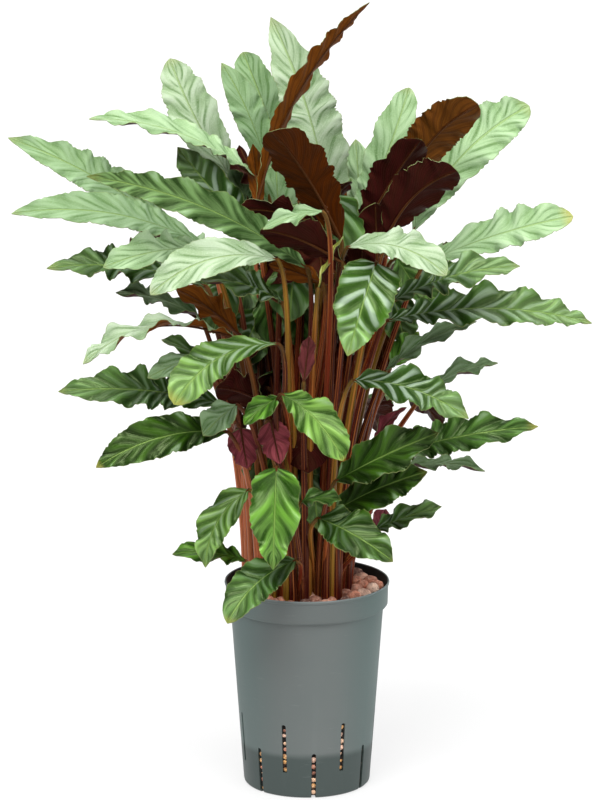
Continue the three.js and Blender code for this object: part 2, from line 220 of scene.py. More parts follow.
# The pot is one moulding of matt grey-green plastic, 190 mm tall: a tapered cup with a wider band
# round its mouth and two rows of upright slots, from which excess water runs out.
POT_HEIGHT = 190
BASE_RADIUS = 57.8
SHOULDER_RADIUS = 70
BAND_RADIUS = 73.6
RIM_RADIUS = 75
SHOULDER = 167
BAND_FOOT = 169
LIP = 1
CORNER = 3
WALL = 1.8
POT_FLOOR = 2
POT_STEPS = 140
SLOTS_A_ROW = 7
SLOT_WIDTH = 4
SLOT_DEPTH = 40
SLOT_INSET = 10
SLOT_TOP_STEPS = 12
SLOT_ROWS = ((-19.7, 24, 70), (6, -1, 43))  # The turn of the first slot, and its foot and top
CREASE = 35
DAMP_TOP = 50
DAMP_FADE = 8
DAMP_WANDER = 14
MM = 0.001  # Sizes are in millimetres, and the scene is in metres

POT_GREY = (0.1, 0.117, 0.113)
POT_PALE_GREY = (0.112, 0.126, 0.122)
POT_SIDE_SHADE = (0.07, 0.115, 0.108)
POT_DAMP = (0.02, 0.036, 0.032)
POT_MOUTH_SHADE = (0.012, 0.018, 0.022)
POT_LIP_HIGHLIGHT = (0.25, 0.29, 0.29)
POT_SCUFF = (0.22, 0.24, 0.24)


def mm(*values):
    return Vector(values) * MM


def spun(profile, steps):
    """A closed profile of radius and height, in millimetres, spun once round the pot's axis."""
    bm = bmesh.new()
    verts = [bm.verts.new(mm(radius, 0, height)) for radius, height in profile]
    edges = [bm.edges.new(pair) for pair in zip(verts, verts[1:])]
    ring = {"cent": (0, 0, 0), "axis": (0, 0, 1), "angle": 2 * math.pi, "steps": steps}
    bmesh.ops.spin(bm, geom=verts + edges, use_merge=True, **ring)
    bmesh.ops.remove_doubles(bm, verts=bm.verts, dist=1e-6)
    bmesh.ops.recalc_face_normals(bm, faces=bm.faces)
    return bm


def slots():
    """How far each slot is turned round the pot, its foot and its top."""
    for turn, foot, top in SLOT_ROWS:
        for number in range(SLOTS_A_ROW):
            yield math.radians(turn + number * 360 / SLOTS_A_ROW), foot, top


def slot_tools():
    """One solid for each slot: a flat bar with a round top, standing across the wall."""
    bm = bmesh.new()
    half = SLOT_WIDTH / 2
    arc = [math.radians(180 / SLOT_TOP_STEPS * k) for k in range(SLOT_TOP_STEPS + 1)]
    for angle, foot, top in slots():
        outline = [(half * math.cos(a), top - half + half * math.sin(a)) for a in arc]
        outline += [(-half, foot), (half, foot)]
        corners = [bm.verts.new(mm(x, -BASE_RADIUS + SLOT_INSET, z)) for x, z in outline]
        face = bm.faces.new(corners)
        grown = bmesh.ops.extrude_face_region(bm, geom=[face])["geom"]
        moved = [v for v in grown if isinstance(v, bmesh.types.BMVert)]
        bmesh.ops.translate(bm, verts=moved, vec=mm(0, -SLOT_DEPTH, 0))
        spin = Matrix.Rotation(angle, 3, "Z")
        bmesh.ops.rotate(bm, verts=corners + moved, cent=(0, 0, 0), matrix=spin)
    bmesh.ops.recalc_face_normals(bm, faces=bm.faces)
    return made_object("slot_tools", bm)


def pot_plastic():
    """Grey plastic, darker where it is damp. Painted shade turns it teal towards the sides and dark inside
    the mouth, and a painted highlight runs along the lip.
    """
    pot = Finish("pot_plastic")
    place = pot.place()
    height = pot.axis("Z")
    flat = pot.node("ShaderNodeVectorMath", {"operation": "MULTIPLY"}, {0: place, 1: (1, 1, 0)})
    reach = pot.node("ShaderNodeVectorMath", {"operation": "LENGTH"}, {0: flat}, "Value")
    wander = pot.noise(pot.spread(9, 9, 22), 1.0, 3) * (DAMP_WANDER * MM)
    damp = pot.rise(height + wander, DAMP_TOP * MM, (DAMP_TOP - DAMP_FADE) * MM)
    within = pot.rise(reach, BAND_RADIUS * MM, (BAND_RADIUS - 0.4) * MM)
    # Painted shade on the inside of the band, above the granules
    inside = within * pot.rise(height, (BAND_FOOT + 0.2) * MM, (BAND_FOOT + 0.7) * MM)
    cloud = pot.noise(place, 14, 4)
    scuffs = pot.rise(pot.noise(pot.spread(60, 60, 400), 1.0, 3), 0.66, 0.74)
    colour = pot.coats(
        POT_GREY,
        (pot.rise(cloud, 0.3, 0.7), POT_PALE_GREY),
        # Painted shade: teal and darker towards the sides, away from the front light
        (pot.rise(abs(pot.axis("X")), 0.02, 0.07), POT_SIDE_SHADE),
        (damp * 0.8, POT_DAMP),
        # Painted shade inside the mouth
        (inside * 0.85, POT_MOUTH_SHADE),
        # Painted highlight along the top of the lip
        (pot.rise(height, (POT_HEIGHT - 1.6) * MM, (POT_HEIGHT - 0.4) * MM) * 0.5, POT_LIP_HIGHLIGHT),
        (scuffs * 0.12, POT_SCUFF),
    )
    grain = pot.bump(pot.noise(place, 2600), 0.00004)
    return pot.skin(Base_Color=colour, Roughness=0.42 + 0.16 * cloud + 0.08 * scuffs, Normal=grain)


def make_pot():
    # The wall's corners, from the middle of the underside up the outside, over the lip and down inside
    profile = [
        (0, 0),
        (BASE_RADIUS - CORNER, 0),
        (BASE_RADIUS - CORNER * 0.5, CORNER * 0.13),
        (BASE_RADIUS - CORNER * 0.13, CORNER * 0.5),
        (BASE_RADIUS, CORNER),
        (SHOULDER_RADIUS - 0.4, SHOULDER - 0.6),
        (SHOULDER_RADIUS + 0.2, SHOULDER),
        (BAND_RADIUS - 0.5, BAND_FOOT - 0.5),
        (BAND_RADIUS, BAND_FOOT + 0.3),
        (RIM_RADIUS - LIP, POT_HEIGHT - 3.4 * LIP),
        (RIM_RADIUS - 0.3 * LIP, POT_HEIGHT - 2.8 * LIP),
        (RIM_RADIUS, POT_HEIGHT - 1.6 * LIP),
        (RIM_RADIUS - 0.4 * LIP, POT_HEIGHT - 0.3 * LIP),
        (RIM_RADIUS - LIP, POT_HEIGHT),
        (RIM_RADIUS - WALL + 0.2, POT_HEIGHT - 0.4 * LIP),
        (RIM_RADIUS - WALL, POT_HEIGHT - LIP),
        (BAND_RADIUS - WALL, BAND_FOOT + LIP),
        (SHOULDER_RADIUS - WALL, SHOULDER),
        (BASE_RADIUS - WALL, POT_FLOOR),
        (0, POT_FLOOR),
    ]
    pot = made_object("slotted_pot", spun(profile, POT_STEPS), pot_plastic())
    tools = slot_tools()
    cut = pot.modifiers.new("slots", "BOOLEAN")
    cut.operation = "DIFFERENCE"
    cut.solver = "EXACT"
    cut.object = tools
    bpy.context.view_layer.update()
    done = bpy.data.meshes.new_from_object(pot.evaluated_get(bpy.context.evaluated_depsgraph_get()))
    pot.modifiers.clear()
    pot.data = done
    bpy.data.objects.remove(tools)
    done.shade_smooth()
    done.set_sharp_from_angle(angle=math.radians(CREASE))
    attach(pot, "root")
    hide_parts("pot")


make_pot()

# The granules are fired clay pebbles, 6 to 16 mm across, reddish brown with a rough skin. They fill
# the pot loosely, and the stalks rise from between them. Small ones show in the slots.
CLUMP = Vector((-8, -2))
SHOOTS = 9
SHOOT_RING = 37
PEBBLE_PITCH = 14.6
PEBBLE_ROW_SHARE = 0.87
PEBBLE_LEVELS = ((171, 67), (181, 72.3))  # The height of each layer, and how far out it reaches
PEBBLE_RADII = (6.3, 8)
PEBBLE_STRAY = (-1.5, 1.5)
PEBBLE_BREADTH = (0.82, 1)
PEBBLE_THICKNESS = (0.75, 0.95)
PEBBLE_ROUGHNESS = (-0.08, 0.08)
STALK_ROOM = 8
PEBBLE_ROOM = 0.4
BEAD_RADIUS = 3.7
BEAD_SIZES = (0.8, 1.05)
BEAD_PITCH = 6.3
BEAD_PLACES = (0.35, 0.65)
BEAD_SINK = 3.1
BEAD_STRAY = (-0.3, 0.2)
BEAD_TONES = (0.3, 0.5, 0.8, 1.5, 2, 2)

CLAY_GREY = (0.16, 0.08, 0.06)
CLAY_RED = (0.66, 0.27, 0.17)
CLAY_PINK = (1, 0.7, 0.54)
CLAY_GOLDEN = (0.75, 0.4, 0.14)
CLAY_BROWN = (0.16, 0.06, 0.04)
CLAY_DUST = (0.9, 0.66, 0.52)
CLAY_GAP_SHADE = (0.003, 0.002, 0.001)
CLAY_BED = (0.04, 0.016, 0.01)


def shoot_place(number):
    """Where a shoot stands: the last in the middle of the clump, the others in a ring round it."""
    if number == SHOOTS:
        return CLUMP.copy()
    turn = math.radians(-90 - (number - 1) * 360 / (SHOOTS - 1))
    return CLUMP + SHOOT_RING * Vector((math.cos(turn), math.sin(turn)))


def fired_clay():
    """Each pebble has its own tone, from grey through red and pink to golden."""
    clay = Finish("pebble_clay")
    place = clay.place()
    each = clay.own("each")
    cloud = clay.noise(place, 160, 4)
    dust = clay.rise(clay.noise(place, 420, 4), 0.5, 0.7)
    colour = clay.coats(
        CLAY_GREY,
        (clay.rise(each, 0.15, 0.5), CLAY_RED),
        (clay.rise(each, 0.6, 0.9), CLAY_PINK),
        (clay.rise(each, 1.1, 2), CLAY_GOLDEN),
        (clay.rise(cloud, 0.4, 0.65) * 0.6, CLAY_BROWN),
        (dust * 0.35, CLAY_DUST),
    )
    pores = clay.node("ShaderNodeTexVoronoi", {}, {"Vector": place, "Scale": 700})
    relief = clay.bump(clay.rise(pores, 0.1, 0.5) + cloud * 0.8, 0.0006)
    return clay.skin(Base_Color=colour, Roughness=0.88, Normal=relief)


def packed_clay():
    # Near-black packed clay, with painted shade in the gaps between its pebbles
    clay = Finish("packed_clay")
    cells = {"Vector": clay.place(), "Scale": 160}
    gaps = clay.node("ShaderNodeTexVoronoi", {"feature": "DISTANCE_TO_EDGE"}, cells)
    body = clay.rise(gaps, 0.08, 0.3)
    colour = clay.mix(body, CLAY_GAP_SHADE, CLAY_BED)
    return clay.skin(Base_Color=colour, Roughness=0.95, Normal=clay.bump(body, 0.002))


def add_pebble(bm, each, chance, spot, radius, tone):
    turn = Matrix.Rotation(chance.uniform(0, 6), 4, "Z") @ Matrix.Rotation(chance.uniform(0, 6), 4, "X")
    shape = Matrix.Diagonal((1, chance.uniform(*PEBBLE_BREADTH), chance.uniform(*PEBBLE_THICKNESS), 1))
    seat = Matrix.Translation(spot * MM)
    size = radius * MM
    ball = bmesh.ops.create_icosphere(bm, subdivisions=2, radius=size, matrix=seat @ turn @ shape)["verts"]
    for vert in ball:
        vert[each] = tone
        vert.co += (vert.co - spot * MM) * chance.uniform(*PEBBLE_ROUGHNESS)


def fill_mouth(bm, each, chance):
    """Two layers of pebbles under the rim, with room left for the stalks."""
    feet = [shoot_place(number) for number in range(1, SHOOTS + 1)]
    rows = int(POT_HEIGHT / 2 / PEBBLE_PITCH)
    for level, (height, reach) in enumerate(PEBBLE_LEVELS):
        for row in range(-rows, rows + 1):
            for column in range(-rows, rows + 1):
                x = (column + (row % 2) / 2 + level / 2) * PEBBLE_PITCH + chance.uniform(*PEBBLE_STRAY)
                y = (row + level / 2) * PEBBLE_PITCH * PEBBLE_ROW_SHARE + chance.uniform(*PEBBLE_STRAY)
                radius = chance.uniform(*PEBBLE_RADII)
                spot = Vector((x, y, height + chance.uniform(*PEBBLE_STRAY)))
                if spot.to_2d().length + radius > reach:
                    continue
                if min((spot.to_2d() - foot).length for foot in feet) < STALK_ROOM + radius * PEBBLE_ROOM:
                    continue
                add_pebble(bm, each, chance, spot, radius, chance.random())


def fill_slots(bm, each, chance):
    """Small pebbles one above the other behind each slot, close to the wall's outside."""
    for angle, foot, top in slots():
        low = max(foot, POT_FLOOR)
        for step in range(int((top - low) / BEAD_PITCH)):
            height = low + (step + chance.uniform(*BEAD_PLACES)) * BEAD_PITCH
            taper = (SHOULDER_RADIUS - BASE_RADIUS) * height / SHOULDER
            out = BASE_RADIUS - WALL + taper - BEAD_SINK + chance.uniform(*BEAD_STRAY)
            spot = Vector((math.sin(angle) * out, -math.cos(angle) * out, height))
            radius = BEAD_RADIUS * chance.uniform(*BEAD_SIZES)
            add_pebble(bm, each, chance, spot, radius, chance.choice(BEAD_TONES))


def make_pebbles():
    chance = random.Random(4)
    bm = bmesh.new()
    each = bm.verts.layers.float.new("each")
    fill_mouth(bm, each, chance)
    fill_slots(bm, each, chance)
    pebbles = made_object("clay_pebbles", bm, fired_clay())
    pebbles.data.shade_smooth()
    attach(pebbles, "root")
    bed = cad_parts["clay_granules"]
    bed.data.materials.clear()
    bed.data.materials.append(packed_clay())


make_pebbles()

# The leaves are waved blades up to 215 mm long, velvety green above and burgundy underneath. A row
# gives the shoot, the neck where the stalk ends, the tip, the width and the way the upper face looks,
# all in millimetres, and the tones of the two faces. Each blade stands in the place of its CAD leaf.
BLADE_THICKNESS = 0.5
NECK_GAP = 0.3
LEAST_HALF = 0.4
NECK_GAIN = 1.0
FOLD = 14
FOLD_SPREAD = 1.15
WAVE_LENGTH = 26
WAVE_HEIGHT = 4.2
WAVE_SHARE = 0.55
WAVE_SLIP = 0.3
WAVE_UNEVEN = 0.35
WAVE_DRIFT = 9
WAVE_SLANT = 0.5
WAVE_SPREAD = 1.2
CREST_BULGE = 0.06
RIPPLE = 0.24
RIPPLE_FOCUS = 3
BITE_DEPTH = 0.04
BITE_FOCUS = 5
BITES = ((1, 5.3, 1.7, 2, 0), (0.6, 8.7, 2.9, 1, 4))
PLEAT_PITCH = 12
PLEAT_SLANT = 1.1
PALE_SLANT = 2.4
DARK_SLANT = 0.6
PLEAT_CURVE = 1.3
PLEAT_WANDER = 0.14
PLEAT_DRIFT = 2.3
PLEAT_DEPTH = 0.62
PALE_FLATNESS = 0.5
SILVER_DEPTH = 0.9
PLEAT_SPREAD = 0.7
PLEAT_ROOM = 14
VEINS_A_PLEAT = 4
STEPS_A_PLEAT = 6
STEPS_ACROSS = 22

# The pale tones MINT, SAGE and PALE, given to the upper leaves, are partly the leaves' own green and partly
# painted reflection of the light from above.
MINT = (0.285, 0.415, 0.225)
SAGE = (0.196, 0.305, 0.155)
MEADOW = (0.076, 0.17, 0.024)
GREEN = (0.046, 0.135, 0.01)
MOSS = (0.055, 0.115, 0.03)
DEEP = (0.028, 0.078, 0.01)
DARK = (0.013, 0.042, 0.002)
PALE = (0.335, 0.43, 0.28)
BURGUNDY = (0.022, 0.002, 0.003)
BROWN = (0.042, 0.008, 0.0003)
AMBER = (0.13, 0.036, 0.004)
PURPLE = (0.18, 0.035, 0.047)

FRESH_TIP = (0.26, 0.42, 0.14)
SHINE = (0.3, 0.42, 0.26)
FEATHER = (0.04, 0.11, 0.015)
HOLLOW_SHADE = (0.011, 0.036, 0.003)
SILVER_TIP = (0.2, 0.32, 0.12)
SILVER_SHEEN = (0.38, 0.48, 0.38)
RIPE_TIP = (0.34, 0.3, 0.06)
MARGIN_AND_RIM_LIGHT = (0.18, 0.21, 0.06)
DULL_MARGIN = (0.07, 0.09, 0.02)
MIDRIB = (0.17, 0.27, 0.06)
UNDER_FOLD_SHADE = (0.012, 0.003, 0.002)
UNDER_VEIN = (0.14, 0.035, 0.01)
UNDER_MIDRIB = (0.06, 0.015, 0.005)

# What a row needn't say. silver deepens the pleats and paints a silver sheen on their crests, with painted
# shade between them, tipped yellows the tip, fresh lightens the blade towards it, and root paints shade
# over the lower end. arch lifts its middle, bend curves it to one side and twist turns it. base and point
# say how slender its two ends are, the higher the more so. wave scales its waves, and jag the bites in its
# margin.
PLAIN_LEAF = {"silver": 0.0, "tipped": 0.3, "fresh": 0.08, "root": 0.65, "arch": 0.09, "bend": 0.0,
              "twist": 0.0, "base": 0.9, "point": 0.85, "wave": 1.0, "jag": 1.5}


class Leaf:
    """A leaf's line and cross directions, worked out from its row."""

    def __init__(self, shoot, neck, tip, width, face, upper=GREEN, under=BURGUNDY, **traits):
        vars(self).update(PLAIN_LEAF, **traits)
        self.shoot = shoot
        self.neck = Vector(neck)
        self.reach = Vector(tip) - self.neck
        self.length = self.reach.length
        self.width = width
        ahead = self.reach.normalized()
        look = Vector(face)
        self.rise = (look - look.dot(ahead) * ahead).normalized()
        self.side = ahead.cross(self.rise)
        self.upper = upper
        self.under = under
        # Pale leaves have dark dashes, and side veins that lean further towards the tip
        self.dashed = 1.0 if upper in (MINT, SAGE, PALE) else 0.0
        self.slant = PLEAT_SLANT + DARK_SLANT * (1 - self.silver)
        if self.dashed and self.silver < 0.3:
            self.slant = PALE_SLANT
        self.crests = 2 * max(2, math.floor(self.length / WAVE_LENGTH + 0.5))
        self.pleats = max(4, round(self.length / PLEAT_PITCH))

    def at(self, s):
        """The midrib's place, direction and upward side at s, from 0 at the neck to 1 at the tip."""
        push = self.rise * self.arch + self.side * self.bend
        place = self.neck + self.reach * s + push * (4 * s * (1 - s) * self.length)
        along = (self.reach + push * (4 * (1 - 2 * s) * self.length)).normalized()
        up = (self.rise - self.rise.dot(along) * along).normalized()
        up.rotate(Matrix.Rotation(math.radians(self.twist * s), 3, along))
        return place, along, up

    def half_width(self, s):
        widest = self.base / (self.base + self.point)
        shape = s**self.base * (1 - s) ** self.point
        full = widest**self.base * (1 - widest) ** self.point
        return max(LEAST_HALF + NECK_GAIN * (1 - s), self.width / 2 * shape / full)


def pleat_crest(finish, pleat):
    """1 along the top of each pleat and 0 between two of them."""
    return 0.5 + 0.5 * finish.math("COSINE", pleat * (2 * math.pi))


def side_veins(finish, pleat, low):
    return finish.rise(abs((pleat * VEINS_A_PLEAT) % 1.0 - 0.5), low, 0.5)


def along_veins(finish, pleat, across, detail):
    """A noise drawn out along the side veins, and different on each leaf."""
    return finish.noise(finish.joined(pleat, across, finish.own("seed")), 1.0, detail)


def upper_skin():
    """Green velvet: pale leaves with dark feathering, and dark ones with a painted dull shine and painted
    silver sheen on their pleats. All have painted highlights on their crests and painted shade in their
    valleys and at their lower ends.
    """
    top = Finish("leaf_upper_face")
    across = top.own("across")
    along = top.own("along")
    place = top.place()
    silver = top.own("silver")
    pale_leaf = top.own("dashed")
    swell = top.own("swell")
    pleat = top.own("pleat") + top.noise(place, 70) * 0.12
    crest = pleat_crest(top, pleat)
    vein = side_veins(top, pleat, 0.4)
    streak = along_veins(top, pleat * 9, across * 1.6, 4)
    band = along_veins(top, pleat * 1.7, across * 1.1, 2)
    cloud = top.noise(place, 26)

    # The leaf's own tone, and a darker, a lighter and a brighter one made from it. They give the leaf's own
    # streaks and mottling, and the painted shade and painted highlights below.
    base = top.own("upper", "Color")
    loss = top.mix(pale_leaf, (0.14, 0.23, 0.09), (0.45, 0.54, 0.4))
    gain = top.mix(pale_leaf, (2.5, 2.1, 2.8), (1.11, 1.06, 1.15))
    shade = top.mix(1.0, base, loss, "MULTIPLY")
    light = top.mix(1.0, base, gain, "MULTIPLY")
    bright = top.mix(1.0, base, (1.9, 1.7, 2.2), "MULTIPLY")

    # Painted shade in the valleys between the waves and pleats, and a painted dull shine on dark leaves'
    # crests
    pleat_shade_share = (0.62 - 0.36 * pale_leaf) * top.rise(across, 0.0, 0.25)
    valley_shade = top.rise(swell, 0.15, -0.55) * 0.7 + top.rise(crest + streak * 0.3, 0.65, 0.15) * pleat_shade_share
    dark_leaf = 0.5 - 0.5 * pale_leaf
    gloss = top.rise(swell + crest * 0.3, 0.6, 1.1) * top.rise(band, 0.42, 0.6) * dark_leaf

    # Dark feathering in the middle of a pale leaf's halves, and a painted silver sheen on the pleat crests
    # that fades outwards
    middle = top.rise(across, 0.05, 0.2) * top.rise(across, 0.85, 0.55) * pale_leaf
    dash = top.rise(crest + streak * 0.4, 0.55, 0.3) * top.rise(band, 0.42, 0.56) * middle
    lower_part = top.rise(along, 0.8, 0.4)
    fading = top.rise(across, 1.0, 0.7) * (0.25 + 0.75 * lower_part)
    sheen_ridge = top.rise(crest + streak * 0.5, 0.75, 1.25) * silver * fading

    ripe = top.rise(along + cloud * 0.04, 0.94, 1.02) * top.own("tipped")
    rib = top.rise(across * (1.3 - along), 0.04, 0.012)
    speckle = top.noise(place, 1700)
    colour = top.coats(
        base,
        (top.rise(along, 0.25, 0.9) * top.own("fresh"), FRESH_TIP),
        # Painted shade over the blade's lower end
        (top.rise(along, 0.55, 0.05) * top.own("root"), shade),
        (top.rise(cloud, 0.35, 0.7) * 0.6, light),
        (top.rise(band, 0.45, 0.7) * 0.45, shade),
        (top.rise(streak, 0.45, 0.66) * 0.5 + vein * 0.25, shade),
        # Painted shade in the valleys
        (valley_shade, shade),
        # Painted highlight on the crests of the waves and pleats
        (top.rise(swell + crest * 0.5, 0.3, 0.95) * 0.85, light),
        # Painted dull shine on the crests of dark leaves
        (gloss, SHINE),
        (dash * 0.6, FEATHER),
        # Painted shade between the silver crests, on the lower part of the blade
        (silver * lower_part * 0.85, HOLLOW_SHADE),
        (silver * top.rise(along, 0.5, 0.95) * 0.6, SILVER_TIP),
        # Painted silver sheen on the crests
        (sheen_ridge * 0.8, SILVER_SHEEN),
        (ripe * 0.8, RIPE_TIP),
        # A pale margin line, partly the leaf's own edge and partly painted rim light
        (top.rise(across, 0.95, 1.0) * 0.4, MARGIN_AND_RIM_LIGHT),
        (rib * 0.65, MIDRIB),
        (top.rise(speckle, 0.5, 0.7) * 0.3, bright),
    )
    relief = top.bump(streak * 0.2 + vein * 0.25 - rib * 1.2 + speckle * 0.15, 0.0005)
    return top.skin(Base_Color=colour, Roughness=0.23 + 0.14 * streak + 0.18 * pale_leaf, Normal=relief,
                    Specular_IOR_Level=0.36, Specular_Tint=(0.75, 1, 0.45))


def lower_skin():
    """Burgundy or brown, finely streaked along its veins, with painted shade in its folds."""
    low = Finish("leaf_lower_face")
    across = low.own("across")
    pleat = low.own("pleat")
    vein = side_veins(low, pleat, 0.38)
    streak = along_veins(low, pleat * 8, across * 1.5, 4)
    base = low.own("under", "Color")
    bright = low.mix(1.0, base, (1.9, 2.1, 2.0), "MULTIPLY")
    rib = low.rise(across * (1.25 - low.own("along")), 0.05, 0.02)
    colour = low.coats(
        base,
        (low.rise(streak, 0.42, 0.7) * 0.6, bright),
        # Painted shade in the folds
        (low.rise(pleat_crest(low, pleat), 0.55, 0.0) * 0.35, UNDER_FOLD_SHADE),
        (vein * 0.12, UNDER_VEIN),
        (rib * 0.4, UNDER_MIDRIB),
    )
    relief = low.bump(streak * 0.3 + vein * 0.4 + rib, 0.0005)
    return low.skin(Base_Color=colour, Roughness=0.46 + 0.15 * streak, Normal=relief,
                    Specular_IOR_Level=0.18, Specular_Tint=(1, 0.45, 0.15))


def margin_skin():
    rim = Finish("leaf_margin")
    fade = rim.noise(rim.place(), 90)
    # Partly the edge's own pale tone and partly painted rim light
    pale = rim.mix(rim.rise(fade, 0.35, 0.65), DULL_MARGIN, MARGIN_AND_RIM_LIGHT)
    return rim.skin(Base_Color=pale, Roughness=0.6)


def margin_bite(seed, turns, v):
    """How deep the margin is cut in here. Each row of BITES is one uneven wave: how strong, how close,
    how it shifts from leaf to leaf, and where it starts at the two margins."""
    return sum(share * math.sin(rate * math.pi * turns + shift * seed + (right if v > 0 else left))
               for share, rate, shift, right, left in BITES)


def blade_point(leaf, seed, pairing, p, v):
    """A point of the blade, and how high its wave stands there.

    p runs along the blade, and v across it from -1 at one margin to 1 at the other."""
    s = p + WAVE_SLIP * p * (1 - p) * math.sin(2 * math.pi * p + 2 * seed)
    place, along, up = leaf.at(s)
    side = along.cross(up)
    edge = abs(v)
    turns = leaf.crests * p / 2
    crest = -math.cos(2 * math.pi * turns)
    inner_crest = -math.cos(2 * math.pi * (turns + WAVE_SLANT * (1 - edge)))
    bite = margin_bite(seed, turns, v)
    cut = 1 - BITE_DEPTH * leaf.jag * abs(bite) * edge**BITE_FOCUS
    half = leaf.half_width(s) * (1 + CREST_BULGE * crest) * cut
    ends = math.sqrt(max(0.0, math.sin(math.pi * s)))
    height = min(WAVE_HEIGHT, WAVE_SHARE * half) * ends * leaf.wave
    uneven = 1 + WAVE_UNEVEN * math.sin(WAVE_DRIFT * s + seed)
    swell = inner_crest * edge**WAVE_SPREAD * uneven * (pairing if v > 0 else 1)
    ripple = RIPPLE * bite * edge**RIPPLE_FOCUS
    pleating = PLEAT_DEPTH * (1 - PALE_FLATNESS * leaf.dashed) + SILVER_DEPTH * leaf.silver
    depth = pleating * ends * min(1.0, half / PLEAT_ROOM) * leaf.wave
    pleat = math.cos(2 * math.pi * pleat_turn(leaf, seed, p, v)) * math.sin(math.pi * edge**PLEAT_SPREAD)
    tilt = math.sin(math.radians(FOLD)) * half * edge**FOLD_SPREAD
    spread = math.cos(math.radians(FOLD)) * half * v
    lift = tilt + height * (swell + ripple) + depth * pleat
    return place + side * spread + up * lift, swell


def pleat_turn(leaf, seed, p, v):
    """How many pleats lie before this point. They leave the midrib aslant and curve towards the tip."""
    even = leaf.pleats * p + leaf.slant * (1 - abs(v)) ** PLEAT_CURVE
    return even + PLEAT_WANDER * math.sin(PLEAT_DRIFT * leaf.pleats * p + seed) + (0.5 if v > 0 else 0)


def make_blade(name, leaf, seed, pairing, nodes, steps):
    """A waved sheet, copied, spread to the blade's thickness and closed round its margin.

    pairing is 1 where the two halves wave together, and -1 where one rises as the other falls."""
    first = leaf.at(0)[1] * NECK_GAP
    bm = bmesh.new()
    traits = {n: getattr(leaf, n) for n in ("silver", "tipped", "dashed", "fresh", "root")}
    kinds = ("across", "along", "pleat", "swell", "seed", *traits)
    layers = {n: bm.verts.layers.float.new(n) for n in kinds}
    tones = {n: bm.verts.layers.float_color.new(n) for n in ("upper", "under")}
    columns = STEPS_ACROSS * steps // STEPS_A_PLEAT // 2 * 2
    bmesh.ops.create_grid(bm, x_segments=steps * leaf.pleats, y_segments=columns, size=1)
    for vert in bm.verts:
        p = min(1.0, max(0.0, (vert.co.x + 1) / 2))
        v = -vert.co.y
        point, swell = blade_point(leaf, seed, pairing, p, v)
        turn = pleat_turn(leaf, seed, p, v)
        figures = {"across": abs(v), "along": p, "pleat": turn, "swell": swell, "seed": seed, **traits}
        for n, value in figures.items():
            vert[layers[n]] = value
        for n, tone in tones.items():
            vert[tone] = (*getattr(leaf, n), 1)
        vert.co = (first + point) * MM
    bm.normal_update()
    upper = list(bm.faces)
    copied = bmesh.ops.duplicate(bm, geom=bm.verts[:] + bm.edges[:] + bm.faces[:])
    lower = [f for f in copied["geom"] if isinstance(f, bmesh.types.BMFace)]
    half_skin = BLADE_THICKNESS / 2 * MM
    for skin, (faces, lift) in enumerate(((upper, half_skin), (lower, -half_skin))):
        for vert in {v for f in faces for v in f.verts}:
            vert.co += vert.normal * lift
        for face in faces:
            face.material_index = skin
            face.smooth = True
    bmesh.ops.reverse_faces(bm, faces=lower)
    rim_edges = [e for e in bm.edges if e.is_boundary]
    for face in bmesh.ops.bridge_loops(bm, edges=rim_edges)["faces"]:
        face.material_index = 2
    for edge in rim_edges:
        edge.smooth = False
    piece = made_object(name, bm, *LEAF_SKINS)
    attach(piece, "root")
    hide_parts(*nodes)


def make_blades(kind, leaves, first_seed, steps=STEPS_A_PLEAT):
    """Blades in turn. A large one has a CAD node of its own, and the others belong to their shoots."""
    for number, leaf in enumerate(leaves, 1):
        node = f"leaf_{number:02d}" if kind == "blade" else f"shoot_{leaf.shoot}"
        pairing = -1 if number % 2 else 1
        make_blade(f"{kind}_{number:02d}", leaf, first_seed + number, pairing, [node], steps)


